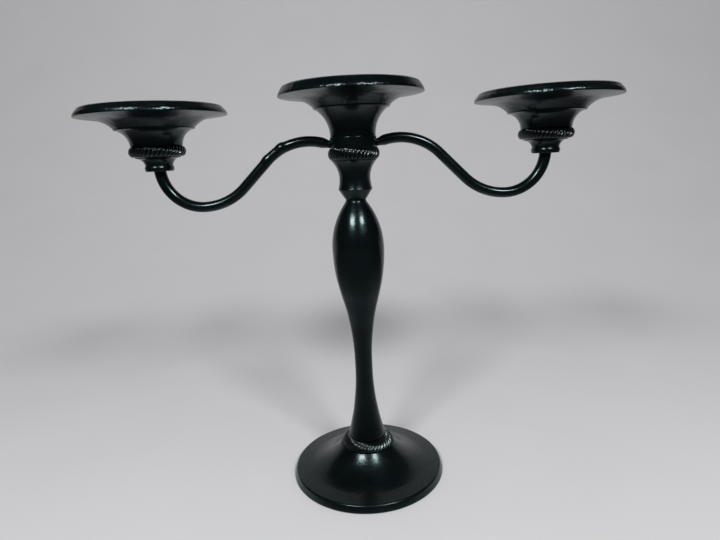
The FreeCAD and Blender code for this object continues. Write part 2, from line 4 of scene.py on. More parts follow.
import bmesh
import bpy
from mathutils import Matrix, Vector, noise


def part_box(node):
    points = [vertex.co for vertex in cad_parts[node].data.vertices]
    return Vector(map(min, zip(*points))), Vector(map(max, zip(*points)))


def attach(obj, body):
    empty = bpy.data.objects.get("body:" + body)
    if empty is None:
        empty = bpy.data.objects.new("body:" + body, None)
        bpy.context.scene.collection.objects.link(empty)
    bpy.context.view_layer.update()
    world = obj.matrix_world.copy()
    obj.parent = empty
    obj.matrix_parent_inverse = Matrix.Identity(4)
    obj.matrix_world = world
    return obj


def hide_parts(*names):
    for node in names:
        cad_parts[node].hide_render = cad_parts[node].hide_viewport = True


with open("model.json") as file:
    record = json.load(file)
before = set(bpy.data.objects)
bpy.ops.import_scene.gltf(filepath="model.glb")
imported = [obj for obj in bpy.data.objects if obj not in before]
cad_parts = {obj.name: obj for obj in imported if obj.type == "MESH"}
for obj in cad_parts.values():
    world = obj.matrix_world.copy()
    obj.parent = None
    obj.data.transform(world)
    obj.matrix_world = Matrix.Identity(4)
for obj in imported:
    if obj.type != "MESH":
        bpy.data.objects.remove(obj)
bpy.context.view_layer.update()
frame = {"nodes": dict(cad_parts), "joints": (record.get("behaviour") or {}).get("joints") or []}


# The studio: a pale board that lies under the candelabra and sweeps up behind it, painted a little paler
# towards the back as painted light where the lamps reach it less, two soft lamps at the left and right of the
# camera, and a black drape round the front and sides, which only the gloss mirrors as painted dark
# reflections.
BOARD_HALF_WIDTH = 6.0
BOARD_FRONT = -6.0
BOARD_BACK = 1.25
BOARD_BEND = 1.0
BOARD_BEND_STEPS = 32
BOARD_TOP = 2.2
BOARD_NEAR = (0.64, 0.64, 0.65, 1.0)
BOARD_FAR = (0.68, 0.68, 0.69, 1.0)
BOARD_GRAIN = 0.03
BOARD_GRAIN_SCALE = 9.0
BOARD_GRAIN_DETAIL = 3.0
BOARD_PAINTED_LIGHT_SPAN = (0.1, 0.9)
BOARD_ROUGHNESS = 0.7
BOARD_SHINE = 0.2
AIR_COLOUR = (0.34, 0.34, 0.345, 1.0)
LAMP_AZIMUTH = math.radians(29)
LAMP_ELEVATION = math.radians(37)
LAMP_DISTANCE = 1.3
LAMP_SIZE = (0.36, 0.2)
LAMP_POWER = 9.6
LAMP_AIM = Vector((0.0, 0.0, 0.2))
DRAPE_LIFT = 0.002
DRAPE_RADIUS = 2.4
DRAPE_MIDDLE = 0.01
DRAPE_TURNS = 72
DRAPE_RISES = 24
DRAPE_START = 0.05
DRAPE_REACH = 0.07
DRAPE_WIDTH = 1.9
DRAPE_SHARE = 0.93
DRAPE_PARTING = (0.65, 1.12)
DRAPE_COLOUR = (0.01, 0.01, 0.0105, 1.0)
CAMERA_PLACE = Vector((-0.00751, -0.37567, 0.24432))
CAMERA_HEADING = math.radians(-1.22)
CAMERA_PITCH = math.radians(90 - 12.585)
CAMERA_ROLL = math.radians(-2.723)
CAMERA_LENS = 26.2


def new_object(name, mesh):
    """An object for a mesh, linked to the scene."""
    made = bpy.data.objects.new(name, mesh)
    bpy.context.scene.collection.objects.link(made)
    return made


def sheet_mesh(name, rows):
    """A smooth open sheet through rows of points."""
    count = len(rows[0])
    corners = [point for row in rows for point in row]
    starts = [row * count + column for row in range(len(rows) - 1) for column in range(count - 1)]
    faces = [(start, start + 1, start + count + 1, start + count) for start in starts]
    mesh = bpy.data.meshes.new(name)
    mesh.from_pydata(corners, [], faces)
    mesh.shade_smooth()
    return mesh


def feed(tree, socket, setting):
    """Links a socket to another one, or sets it to a plain value."""
    if isinstance(setting, bpy.types.NodeSocket):
        tree.links.new(setting, socket)
    else:
        socket.default_value = setting


def add_node(tree, kind, inputs):
    """A node with its inputs linked or set by name."""
    made = tree.nodes.new(kind)
    for name, setting in inputs.items():
        feed(tree, made.inputs[name], setting)
    return made


def mix_colours(tree, share, first, second):
    """The first colour, with a share of the second."""
    made = tree.nodes.new("ShaderNodeMix")
    made.data_type = "RGBA"
    factor, colour_a, colour_b = made.inputs[0], made.inputs[6], made.inputs[7]
    for socket, setting in ((factor, share), (colour_a, first), (colour_b, second)):
        feed(tree, socket, setting)
    return made.outputs[2]


def calc(tree, operation, *settings):
    """A sum on sockets or plain numbers."""
    made = tree.nodes.new("ShaderNodeMath")
    made.operation = operation
    for socket, setting in zip(made.inputs, settings):
        feed(tree, socket, setting)
    return made.outputs[0]


def map_range(tree, reading, low, high, to_low=0.0, to_high=1.0):
    """A reading spread from one range to another, and held inside it."""
    made = tree.nodes.new("ShaderNodeMapRange")
    for socket, setting in zip(made.inputs, (reading, low, high, to_low, to_high)):
        feed(tree, socket, setting)
    return made.outputs[0]


def new_material(name):
    """A material with its tree and its shader."""
    material = bpy.data.materials.new(name)
    material.use_nodes = True
    tree = material.node_tree
    return material, tree, tree.nodes["Principled BSDF"]


def own_place(tree):
    """The place of a point in the piece's own coordinates."""
    return tree.nodes.new("ShaderNodeTexCoord").outputs["Object"]


bend_angles = [math.pi / 2 * step / BOARD_BEND_STEPS for step in range(BOARD_BEND_STEPS + 1)]
board_line = [(BOARD_FRONT, 0.0)]
board_line += [
    (BOARD_BACK - BOARD_BEND + BOARD_BEND * math.sin(angle), BOARD_BEND - BOARD_BEND * math.cos(angle))
    for angle in bend_angles
]
board_line.append((BOARD_BACK, BOARD_TOP))
board_rows = [[(-BOARD_HALF_WIDTH, y, z), (BOARD_HALF_WIDTH, y, z)] for y, z in board_line]
board = new_object("board", sheet_mesh("board", board_rows))
board_paint, tree, shader = new_material("pale_board")
place = own_place(tree)
grain = add_node(tree, "ShaderNodeTexNoise", {
    "Vector": place, "Scale": BOARD_GRAIN_SCALE, "Detail": BOARD_GRAIN_DETAIL,
})
parts = add_node(tree, "ShaderNodeSeparateXYZ", {"Vector": place}).outputs
# The board is painted paler towards the back: painted light that stands in for the lamps' light, which falls
# off over the far board.
paler = mix_colours(tree, map_range(tree, parts["Y"], *BOARD_PAINTED_LIGHT_SPAN), BOARD_NEAR, BOARD_FAR)
darker = mix_colours(tree, 1 - 2 * BOARD_GRAIN, (0.0, 0.0, 0.0, 1.0), paler)
tree.links.new(mix_colours(tree, grain.outputs["Fac"], paler, darker), shader.inputs["Base Color"])
shader.inputs["Roughness"].default_value = BOARD_ROUGHNESS
shader.inputs["Specular IOR Level"].default_value = BOARD_SHINE
board.data.materials.append(board_paint)

drape_turns = [2 * math.pi * step / DRAPE_TURNS for step in range(DRAPE_TURNS + 1)]
drape_line = [(DRAPE_MIDDLE, DRAPE_LIFT)]
drape_line += [
    (DRAPE_RADIUS * math.cos(rise), DRAPE_LIFT + DRAPE_RADIUS * math.sin(rise))
    for rise in (math.pi / 2 * step / DRAPE_RISES for step in range(DRAPE_RISES))
]
drape_rows = [[(r * math.cos(turn), r * math.sin(turn), z) for turn in drape_turns] for r, z in drape_line]
# The drape paints dark reflections: the gloss mirrors it in front and at the sides, also over the pale floor
# in front, and its alpha thins out near the middle and behind.
drape = new_object("drape", sheet_mesh("drape", drape_rows))
drape_reflection_paint, tree, shader = new_material("painted_dark_reflection")
place = own_place(tree)
parts = add_node(tree, "ShaderNodeSeparateXYZ", {"Vector": place}).outputs
length = add_node(tree, "ShaderNodeVectorMath", {0: place})
length.operation = "LENGTH"
backward = calc(tree, "DIVIDE", parts["Y"], length.outputs["Value"])
behind = map_range(tree, backward, *DRAPE_PARTING, DRAPE_SHARE, 0.0)
ahead = calc(tree, "POWER", calc(tree, "MAXIMUM", calc(tree, "MULTIPLY", parts["Y"], -1.0), 0.0), 2.0)
aside = calc(tree, "POWER", calc(tree, "ABSOLUTE", calc(tree, "DIVIDE", parts["X"], DRAPE_WIDTH)), 2.0)
away = calc(tree, "SUBTRACT", calc(tree, "SQRT", calc(tree, "ADD", ahead, aside)), DRAPE_START)
thinning = calc(tree, "EXPONENT", calc(tree, "DIVIDE", calc(tree, "MAXIMUM", away, 0.0), -DRAPE_REACH))
alpha = calc(tree, "MULTIPLY", calc(tree, "SUBTRACT", 1.0, thinning), behind)
tree.links.new(alpha, shader.inputs["Alpha"])
shader.inputs["Base Color"].default_value = DRAPE_COLOUR
shader.inputs["Roughness"].default_value = 1.0
shader.inputs["Specular IOR Level"].default_value = 0.0
drape.data.materials.append(drape_reflection_paint)
# Hidden from the camera, from diffuse light and from shadows, the drape gives only painted dark reflections.
drape.visible_camera = False
drape.visible_diffuse = False
drape.visible_transmission = False
drape.visible_shadow = False

world = bpy.data.worlds.new("studio_air")
world.use_nodes = True
world.node_tree.nodes["Background"].inputs["Color"].default_value = AIR_COLOUR
bpy.context.scene.world = world

for side, hand in (("left", -1), ("right", 1)):
    lamp_light = bpy.data.lights.new(f"{side}_lamp", "AREA")
    lamp_light.shape = "RECTANGLE"
    lamp_light.size, lamp_light.size_y = LAMP_SIZE
    lamp_light.energy = LAMP_POWER
    lamp = new_object(f"{side}_lamp", lamp_light)
    towards = Vector((
        hand * math.sin(LAMP_AZIMUTH) * math.cos(LAMP_ELEVATION),
        -math.cos(LAMP_AZIMUTH) * math.cos(LAMP_ELEVATION),
        math.sin(LAMP_ELEVATION),
    ))
    lamp.location = LAMP_AIM + towards * LAMP_DISTANCE
    lamp.rotation_euler = towards.to_track_quat("Z", "Y").to_euler()

camera_lens = bpy.data.cameras.new("camera")
camera_lens.lens = CAMERA_LENS
camera = new_object("camera", camera_lens)
camera.matrix_world = (
    Matrix.Translation(CAMERA_PLACE)
    @ Matrix.Rotation(CAMERA_HEADING, 4, "Z")
    @ Matrix.Rotation(CAMERA_PITCH, 4, "X")
    @ Matrix.Rotation(CAMERA_ROLL, 4, "Z")
)
bpy.context.scene.camera = camera
bpy.context.scene.view_settings.view_transform = "Standard"


# The foot: a round aluminium casting, turned on top and left hollow below, with a boss for the nut.
# It is sprayed glossy black after casting, so its skin is a little rough and pitted under the paint.
EDGE_ROUND = 0.0004
SHARP_TURN = math.radians(14)
FOOT_BEVEL = 0.0017
FOOT_RIM_HEIGHT = 0.0053
FOOT_EDGE_WIDTH = 0.0012
FOOT_EDGE_DROP = 0.0009
FOOT_EDGE_ROUND = 0.0014
FOOT_BRIM_WIDTH = 0.010
FOOT_BRIM_RISE = 0.0008
FOOT_SWEEP = 0.042
FOOT_SEAT_RADIUS = 0.0206
FOOT_WALL = 0.0032
FOOT_LAND_WIDTH = 0.006
FOOT_BOSS_RADIUS = 0.013
FOOT_SPIGOT_RADIUS = 0.011
ROD_HOLE = 0.0034
FOOT_CHIP_REACH = 0.0016
FOOT_BARE = -0.03
FOOT_SIDES = 256
FOOT_WAVER = 0.00012
FIT_RADIUS = 0.0062
CORNER_SHARE = 0.22
CAST_WAVE = 90
CAST_DENT = 420
CAST_SHIFT = 70
DEEP_BLACK = (0.0008, 0.0016, 0.0019, 1.0)
WORN_BLACK = (0.0020, 0.0036, 0.0041, 1.0)
BARE_CASTING = (0.12, 0.065, 0.043, 1.0)
PAINT_SHEEN = (0.66, 0.97, 1.0, 1.0)
PAINT_IOR = 1.45
PAINT_SPECULAR = 0.42
PAINT_COAT_ROUGHNESS = 0.14
PEEL_SCALE = 620.0
LUMP_SCALE = 75.0
TURNING_SCALE = 1100.0
NIB_SCALE = 110.0
NIB_SIZE = (0.03, 0.075)
NIB_HEIGHT = 0.00003
PATCH_SCALE = 38.0
PATCH_RANGE = (0.35, 0.7)
GRIT_SCALE = 1300.0
GRIT_RANGE = (0.35, 0.65)
GRIT_GLOSS = (0.35, 1.65)
CHIP_FLAKE_SCALE = 260.0
CHIP_RUN_SCALE = 48.0
CHIP_NOISE_SHARE = 0.5
CHIP_EDGE_PULL = 0.36
CHIP_BLOW_PULL = 0.18
CHIP_RANGE = (0.92, 0.96)
CHIP_DULLING = 0.3
CHIP_DEPTH = 0.00008


def new_group(name, kind, inputs, outputs):
    """A node group's tree with its named inputs and outputs."""
    tree = bpy.data.node_groups.new(name, kind)
    for direction, sockets in (("INPUT", inputs), ("OUTPUT", outputs)):
        for label, socket_kind in sockets.items():
            tree.interface.new_socket(label, in_out=direction, socket_type=f"NodeSocket{socket_kind}")
    return tree, tree.nodes.new("NodeGroupInput").outputs, tree.nodes.new("NodeGroupOutput").inputs


def make_paint_skin():
    """The skin of sprayed gloss paint: peel, grit, nibs and dull patches over lumps and turning marks."""
    tree, given, made = new_group(
        "paint_skin", "ShaderNodeTree",
        {
            "Peel Depth": "Float", "Lump Depth": "Float", "Turning Depth": "Float", "Dull": "Float",
            "Dull Spread": "Float", "Gloss": "Float",
        },
        {"Shade": "Float", "Roughness": "Float", "Gloss": "Float", "Height": "Float"},
    )
    place = own_place(tree)
    peel = add_node(tree, "ShaderNodeTexNoise", {"Vector": place, "Scale": PEEL_SCALE, "Detail": 2.0})
    grit = add_node(tree, "ShaderNodeTexNoise", {"Vector": place, "Scale": GRIT_SCALE, "Detail": 2.0})
    lumps = add_node(tree, "ShaderNodeTexNoise", {"Vector": place, "Scale": LUMP_SCALE, "Detail": 2.0})
    patches = add_node(tree, "ShaderNodeTexNoise", {"Vector": place, "Scale": PATCH_SCALE, "Detail": 4.0})
    nibs = add_node(tree, "ShaderNodeTexVoronoi", {"Vector": place, "Scale": NIB_SCALE})
    nib = map_range(tree, nibs.outputs["Distance"], *NIB_SIZE, 1.0, 0.0)
    upright = add_node(tree, "ShaderNodeSeparateXYZ", {"Vector": place}).outputs["Z"]
    turning = add_node(tree, "ShaderNodeTexNoise", {"Scale": TURNING_SCALE, "Detail": 1.0})
    turning.noise_dimensions = "1D"
    tree.links.new(upright, turning.inputs["W"])
    height = calc(tree, "MULTIPLY", peel.outputs["Fac"], given["Peel Depth"])
    height = calc(tree, "MULTIPLY_ADD", lumps.outputs["Fac"], given["Lump Depth"], height)
    height = calc(tree, "MULTIPLY_ADD", turning.outputs["Fac"], given["Turning Depth"], height)
    height = calc(tree, "MULTIPLY_ADD", nib, NIB_HEIGHT, height)
    tree.links.new(height, made["Height"])
    tree.links.new(map_range(tree, patches.outputs["Fac"], *PATCH_RANGE), made["Shade"])
    uneven = calc(tree, "SUBTRACT", patches.outputs["Fac"], 0.5)
    tree.links.new(calc(tree, "MULTIPLY_ADD", uneven, given["Dull Spread"], given["Dull"]), made["Roughness"])
    speckle = map_range(tree, grit.outputs["Fac"], *GRIT_RANGE, *GRIT_GLOSS)
    tree.links.new(calc(tree, "MULTIPLY", speckle, given["Gloss"]), made["Gloss"])
    return tree


def make_rim_chips():
    """Chips where paint is knocked off: a broken line of them near a round edge, more round one blow."""
    tree, given, made = new_group(
        "rim_chips", "ShaderNodeTree",
        {
            "Axis": "Float", "Radius": "Float", "Height": "Float", "Reach": "Float", "Bare": "Float",
            "Blow": "Vector", "Blow Reach": "Float",
        },
        {"Chips": "Float"},
    )
    place = own_place(tree)
    parts = add_node(tree, "ShaderNodeSeparateXYZ", {"Vector": place}).outputs
    across = calc(tree, "POWER", calc(tree, "SUBTRACT", parts["X"], given["Axis"]), 2.0)
    across = calc(tree, "SQRT", calc(tree, "MULTIPLY_ADD", parts["Y"], parts["Y"], across))
    outward = calc(tree, "POWER", calc(tree, "SUBTRACT", across, given["Radius"]), 2.0)
    upward = calc(tree, "SUBTRACT", parts["Z"], given["Height"])
    distance = calc(tree, "SQRT", calc(tree, "MULTIPLY_ADD", upward, upward, outward))
    near = map_range(tree, distance, 0.0, given["Reach"], CHIP_EDGE_PULL, 0.0)
    flakes = add_node(tree, "ShaderNodeTexNoise", {"Vector": place, "Scale": CHIP_FLAKE_SCALE, "Detail": 4.0})
    runs = add_node(tree, "ShaderNodeTexNoise", {"Vector": place, "Scale": CHIP_RUN_SCALE, "Detail": 1.0})
    chance = calc(tree, "ADD", calc(tree, "MULTIPLY", flakes.outputs["Fac"], CHIP_NOISE_SHARE), near)
    chance = calc(tree, "MULTIPLY_ADD", runs.outputs["Fac"], CHIP_NOISE_SHARE, chance)
    chance = calc(tree, "ADD", chance, given["Bare"])
    blow = add_node(tree, "ShaderNodeVectorMath", {0: place, 1: given["Blow"]})
    blow.operation = "DISTANCE"
    struck = map_range(tree, blow.outputs["Value"], 0.0, given["Blow Reach"], CHIP_BLOW_PULL, 0.0)
    chance = calc(tree, "ADD", chance, struck)
    tree.links.new(map_range(tree, chance, *CHIP_RANGE), made["Chips"])
    return tree


PAINT_SKIN = make_paint_skin()
RIM_CHIPS = make_rim_chips()


def gloss_black(name, peel, lumps, dull, dull_spread, gloss, turning=0.0, chips=()):
    """Glossy black paint with its own skin and, on a piece with knocked edges, chips down to the casting."""
    material, tree, shader = new_material(name)
    skin = tree.nodes.new("ShaderNodeGroup")
    skin.node_tree = PAINT_SKIN
    settings = {
        "Peel Depth": peel, "Lump Depth": lumps, "Turning Depth": turning, "Dull": dull,
        "Dull Spread": dull_spread, "Gloss": gloss,
    }
    for label, setting in settings.items():
        skin.inputs[label].default_value = setting
    colour = mix_colours(tree, skin.outputs["Shade"], DEEP_BLACK, WORN_BLACK)
    roughness = skin.outputs["Roughness"]
    coat = skin.outputs["Gloss"]
    height = skin.outputs["Height"]
    for chip_sizes in chips:
        chipped = tree.nodes.new("ShaderNodeGroup")
        chipped.node_tree = RIM_CHIPS
        for label, setting in chip_sizes.items():
            chipped.inputs[label].default_value = setting
        mask = chipped.outputs["Chips"]
        colour = mix_colours(tree, mask, colour, BARE_CASTING)
        roughness = calc(tree, "MULTIPLY_ADD", mask, CHIP_DULLING, roughness)
        coat = calc(tree, "MULTIPLY", coat, calc(tree, "SUBTRACT", 1.0, mask))
        height = calc(tree, "MULTIPLY_ADD", mask, -CHIP_DEPTH, height)
    tree.links.new(colour, shader.inputs["Base Color"])
    tree.links.new(roughness, shader.inputs["Roughness"])
    tree.links.new(coat, shader.inputs["Coat Weight"])
    bump = add_node(tree, "ShaderNodeBump", {"Strength": 1.0, "Distance": 1.0, "Height": height})
    tree.links.new(bump.outputs["Normal"], shader.inputs["Normal"])
    shader.inputs["IOR"].default_value = PAINT_IOR
    shader.inputs["Specular IOR Level"].default_value = PAINT_SPECULAR
    shader.inputs["Specular Tint"].default_value = PAINT_SHEEN
    shader.inputs["Coat Roughness"].default_value = PAINT_COAT_ROUGHNESS
    shader.inputs["Coat IOR"].default_value = PAINT_IOR
    return material


def sweep(start, end, radius, side, steps=20):
    """The arc from start to end, with its centre on the given side of the way."""
    first, last = Vector(start), Vector(end)
    chord = last - first
    leftward = Vector((-chord.y, chord.x)).normalized()
    hand = 1 if side == "left" else -1
    reach = math.sqrt(max(radius ** 2 - chord.length_squared / 4, 0.0))
    centre = (first + last) / 2 + leftward * reach * hand
    turn = 2 * math.asin(min(chord.length / (2 * radius), 1.0)) * hand
    return [centre + Matrix.Rotation(turn * step / steps, 2) @ (first - centre) for step in range(steps + 1)]


def soften(outline, radius, steps=4):
    """Rounds each sharp corner of a closed outline, with one more point where its flat begins."""
    points = [Vector(point) for point in outline]
    rounded = []
    for before, corner, after in zip(points[-1:] + points[:-1], points, points[1:] + points[:1]):
        back, ahead = before - corner, after - corner
        turn = math.pi - back.angle(ahead)
        if turn < SHARP_TURN:
            rounded.append(corner)
            continue
        cut = min(radius * math.tan(turn / 2), CORNER_SHARE * back.length, CORNER_SHARE * ahead.length)
        back.normalize()
        ahead.normalize()
        rounded.append(corner + back * cut * 2)
        for step in range(steps + 1):
            share = step / steps
            rounded.append(corner + back * cut * (1 - share) ** 2 + ahead * cut * share ** 2)
        rounded.append(corner + ahead * cut * 2)
    return rounded


def face_outwards(mesh):
    """Turns the faces of a closed mesh to point outwards."""
    shell = bmesh.new()
    shell.from_mesh(mesh)
    bmesh.ops.recalc_face_normals(shell, faces=shell.faces)
    shell.to_mesh(mesh)
    shell.free()


def turned_piece(name, outline, material, axis=0.0, sides=192, waver=0.0001, dents=0.0):
    """A piece turned from an outline of (radius, height), uneven as a casting but true in its bores."""
    line = soften(outline, EDGE_ROUND)
    count = len(line)
    shift = Vector((axis * CAST_SHIFT, 0, 0))
    corners = []
    for side in range(sides):
        turn = 2 * math.pi * side / sides
        for radius, height in line:
            spot = Vector((radius * math.cos(turn), radius * math.sin(turn), height))
            swell = 0.0
            if radius > FIT_RADIUS:
                swell = waver * noise.noise(spot * CAST_WAVE + shift)
                swell += dents * noise.noise(spot * CAST_DENT + shift)
            corners.append((axis + spot.x * (1 + swell / radius), spot.y * (1 + swell / radius), height))
    faces = []
    for side in range(sides):
        here, there = side * count, (side + 1) % sides * count
        for point in range(count):
            following = (point + 1) % count
            faces.append((here + point, there + point, there + following, here + following))
    mesh = bpy.data.meshes.new(name)
    mesh.from_pydata(corners, [], faces)
    face_outwards(mesh)
    mesh.shade_smooth()
    mesh.materials.append(material)
    return new_object(name, mesh)


def dress(piece, body, node):
    """Sets a painted piece in place of its node, on the node's own body."""
    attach(piece, body)
    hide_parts(node)


foot_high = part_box("foot")[1]
foot_radius = foot_high.y
foot_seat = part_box("foot_rope_ring")[0].z
foot_boss_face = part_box("foot_washer")[1].z
foot_shoulder = (foot_radius - FOOT_BEVEL, FOOT_RIM_HEIGHT - FOOT_EDGE_DROP)
foot_rim = (foot_shoulder[0] - FOOT_EDGE_WIDTH, FOOT_RIM_HEIGHT)
foot_brim = (foot_rim[0] - FOOT_BRIM_WIDTH, FOOT_RIM_HEIGHT + FOOT_BRIM_RISE)
foot_land = foot_radius - FOOT_LAND_WIDTH
foot_outline = [(foot_radius, 0.0)]
foot_outline += sweep(foot_shoulder, foot_rim, FOOT_EDGE_ROUND, "left", steps=8)
foot_outline += sweep(foot_brim, (FOOT_SEAT_RADIUS, foot_seat), FOOT_SWEEP, "right")
foot_outline += [
    (FOOT_SPIGOT_RADIUS, foot_seat),
    (FOOT_SPIGOT_RADIUS, foot_high.z),
    (ROD_HOLE, foot_high.z),
    (ROD_HOLE, foot_boss_face),
    (FOOT_BOSS_RADIUS, foot_boss_face),
]
foot_outline += sweep(
    (FOOT_BOSS_RADIUS, foot_seat - FOOT_WALL),
    (foot_brim[0], foot_brim[1] - FOOT_WALL),
    FOOT_SWEEP + FOOT_WALL, "left",
)
foot_outline += [(foot_land, FOOT_RIM_HEIGHT - FOOT_WALL), (foot_land, 0.0)]
foot_chips = {
    "Axis": 0.0, "Radius": foot_radius, "Height": 0.0, "Reach": FOOT_CHIP_REACH, "Bare": FOOT_BARE,
}
foot_paint = gloss_black(
    "foot_paint", peel=0.00012, lumps=0.0003, dull=0.25, dull_spread=0.2, gloss=0.25, chips=[foot_chips],
)
foot = turned_piece("foot_casting", foot_outline, foot_paint, sides=FOOT_SIDES, waver=FOOT_WAVER)
dress(foot, "stand", "foot")


# The rope rings: cast bands whose round outer side is cut into a rope of slanting strands. One sits
# between foot and stem, one under the arms and one in each side light, all held by the pieces around.
ROPE_PITCH = 0.0031
ROPE_TWIST = 5
ROPE_GROOVE = 0.0013
ROPE_CROWN = 2.8
ROPE_SAMPLES = 12
ROPE_ROWS = 56
ROPE_BACK_REACH = 4.0
SEAM_WELD = 0.00001
FOOT_RING_BORE = 0.01105
FOOT_RING_SWELL = 0.0054
FOOT_RING_CREST = 0.08
FOOT_RING_BULGE = 0.45
HUB_RING_BORE = 0.01405
HUB_RING_SWELL = 0.0034
HUB_RING_PROUD = 0.0009
SIDE_RING_BORE = 0.01105
SIDE_RING_SWELL = 0.0033


def weld_and_paint(tree, geometry, given, made):
    """The end of a node tree: its seams are welded, and it is shaded smooth, made real and painted."""
    welded = add_node(tree, "GeometryNodeMergeByDistance", {"Geometry": geometry, "Distance": SEAM_WELD})
    smooth = add_node(tree, "GeometryNodeSetShadeSmooth", {"Geometry": welded.outputs[0]})
    real = add_node(tree, "GeometryNodeRealizeInstances", {"Geometry": smooth.outputs[0]})
    painted = add_node(tree, "GeometryNodeSetMaterial", {
        "Geometry": real.outputs[0], "Material": given["Material"],
    })
    tree.links.new(painted.outputs[0], made["Geometry"])


def make_rope_tree():
    """A ring of slanting strands, bent from a flat grid whose X runs round it and whose Y runs over it."""
    tree, given, made = new_group(
        "rope_ring", "GeometryNodeTree",
        {
            "Geometry": "Geometry", "Radius": "Float", "Height": "Float", "Base": "Float", "Axis": "Float",
            "Bore": "Float", "Swell": "Float", "Crest": "Float", "Bulge": "Float", "Groove": "Float",
            "Strands": "Int", "Twist": "Int", "Material": "Material",
        },
        {"Geometry": "Geometry"},
    )
    columns = calc(tree, "MULTIPLY_ADD", given["Strands"], ROPE_SAMPLES, 1.0)
    grid = add_node(tree, "GeometryNodeMeshGrid", {
        "Size X": 1.0, "Size Y": 1.0, "Vertices X": columns, "Vertices Y": ROPE_ROWS + 1,
    })
    spot = tree.nodes.new("GeometryNodeInputPosition").outputs[0]
    flat = add_node(tree, "ShaderNodeSeparateXYZ", {"Vector": spot}).outputs
    around = calc(tree, "MULTIPLY", flat["X"], 2 * math.pi)
    over = calc(tree, "MULTIPLY", flat["Y"], 2 * math.pi)
    phase = calc(tree, "MULTIPLY", flat["X"], given["Strands"])
    phase = calc(tree, "SUBTRACT", phase, calc(tree, "MULTIPLY", flat["Y"], given["Twist"]))
    strand = calc(tree, "MULTIPLY_ADD", calc(tree, "FRACT", phase), 2.0, -1.0)
    cut = calc(tree, "POWER", calc(tree, "ABSOLUTE", strand), ROPE_CROWN)
    depth = calc(tree, "MULTIPLY", calc(tree, "MULTIPLY", cut, -1.0), given["Groove"])
    slope = calc(tree, "SUBTRACT", 1.0, calc(tree, "MULTIPLY", calc(tree, "ABSOLUTE", flat["Y"]), 4.0))
    climb = calc(tree, "SUBTRACT", 1.0, calc(tree, "ABSOLUTE", slope))
    climb = calc(tree, "MULTIPLY", climb, calc(tree, "SIGN", flat["Y"]))
    straight = calc(tree, "SUBTRACT", 1.0, given["Bulge"])
    out = calc(tree, "MULTIPLY", calc(tree, "COSINE", over), given["Bulge"])
    out = calc(tree, "MULTIPLY_ADD", slope, straight, out)
    lift = calc(tree, "MULTIPLY", calc(tree, "SINE", over), given["Bulge"])
    lift = calc(tree, "MULTIPLY_ADD", climb, straight, lift)
    outer = calc(tree, "MULTIPLY", calc(tree, "MAXIMUM", out, 0.0), calc(tree, "ADD", given["Swell"], depth))
    core = calc(tree, "SUBTRACT", given["Radius"], given["Swell"])
    inner_reach = calc(tree, "MULTIPLY", calc(tree, "SUBTRACT", core, given["Bore"]), ROPE_BACK_REACH)
    inner = calc(tree, "MULTIPLY", calc(tree, "MINIMUM", out, 0.0), inner_reach)
    radius = calc(tree, "MAXIMUM", calc(tree, "ADD", calc(tree, "ADD", core, outer), inner), given["Bore"])
    above = calc(tree, "MULTIPLY", given["Height"], calc(tree, "SUBTRACT", 1.0, given["Crest"]))
    below = calc(tree, "MULTIPLY", given["Height"], given["Crest"])
    upper = calc(tree, "MULTIPLY", calc(tree, "MAXIMUM", lift, 0.0), calc(tree, "ADD", above, depth))
    lower = calc(tree, "MULTIPLY", calc(tree, "MINIMUM", lift, 0.0), below)
    rise = calc(tree, "ADD", calc(tree, "ADD", below, upper), lower)
    bent = add_node(tree, "ShaderNodeCombineXYZ", {
        "X": calc(tree, "MULTIPLY_ADD", calc(tree, "COSINE", around), radius, given["Axis"]),
        "Y": calc(tree, "MULTIPLY", calc(tree, "SINE", around), radius),
        "Z": calc(tree, "ADD", given["Base"], rise),
    })
    placed = add_node(tree, "GeometryNodeSetPosition", {
        "Geometry": grid.outputs["Mesh"], "Position": bent.outputs["Vector"],
    })
    weld_and_paint(tree, placed.outputs[0], given, made)
    return tree


def grown_piece(name, seed, tree, settings, material):
    """The plain mesh that a node tree grows from a seed object, with its faces pointing outwards."""
    grower = seed.modifiers.new(tree.name, "NODES")
    grower.node_group = tree
    sockets = {item.name: item.identifier for item in tree.interface.items_tree if item.in_out == "INPUT"}
    for label, setting in settings.items():
        grower[sockets[label]] = setting
    grower[sockets["Material"]] = material
    evaluated = seed.evaluated_get(bpy.context.evaluated_depsgraph_get())
    mesh = bpy.data.meshes.new_from_object(evaluated)
    mesh.name = name
    face_outwards(mesh)
    bpy.data.objects.remove(seed)
    return new_object(name, mesh)


ROPE_TREE = make_rope_tree()
rope_paint = gloss_black("rope_paint", peel=0.00002, lumps=0.0001, dull=0.2, dull_spread=0.15, gloss=0.55)


def rope_ring(node, body, bore, swell, crest=0.5, bulge=1.0, proud=0.0):
    """A rope ring in place of its node's plain band, widest at its crest and maybe proud of its top."""
    low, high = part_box(node)
    radius = (high.x - low.x) / 2
    seed = new_object(f"{node}_seed", bpy.data.meshes.new(f"{node}_seed"))
    ring = grown_piece(f"{node}_strands", seed, ROPE_TREE, {
        "Radius": radius,
        "Height": high.z + proud - low.z,
        "Base": low.z,
        "Axis": (low.x + high.x) / 2,
        "Bore": bore,
        "Swell": swell,
        "Crest": crest,
        "Bulge": bulge,
        "Groove": ROPE_GROOVE,
        "Strands": round(2 * math.pi * radius / ROPE_PITCH),
        "Twist": ROPE_TWIST,
    }, rope_paint)
    dress(ring, body, node)


rope_ring("foot_rope_ring", "stand", FOOT_RING_BORE, FOOT_RING_SWELL, FOOT_RING_CREST, FOOT_RING_BULGE)
rope_ring("hub_rope_ring", "head", HUB_RING_BORE, HUB_RING_SWELL, proud=HUB_RING_PROUD)
rope_ring("left_rope_ring", "left_light", SIDE_RING_BORE, SIDE_RING_SWELL)
rope_ring("right_rope_ring", "right_light", SIDE_RING_BORE, SIDE_RING_SWELL)


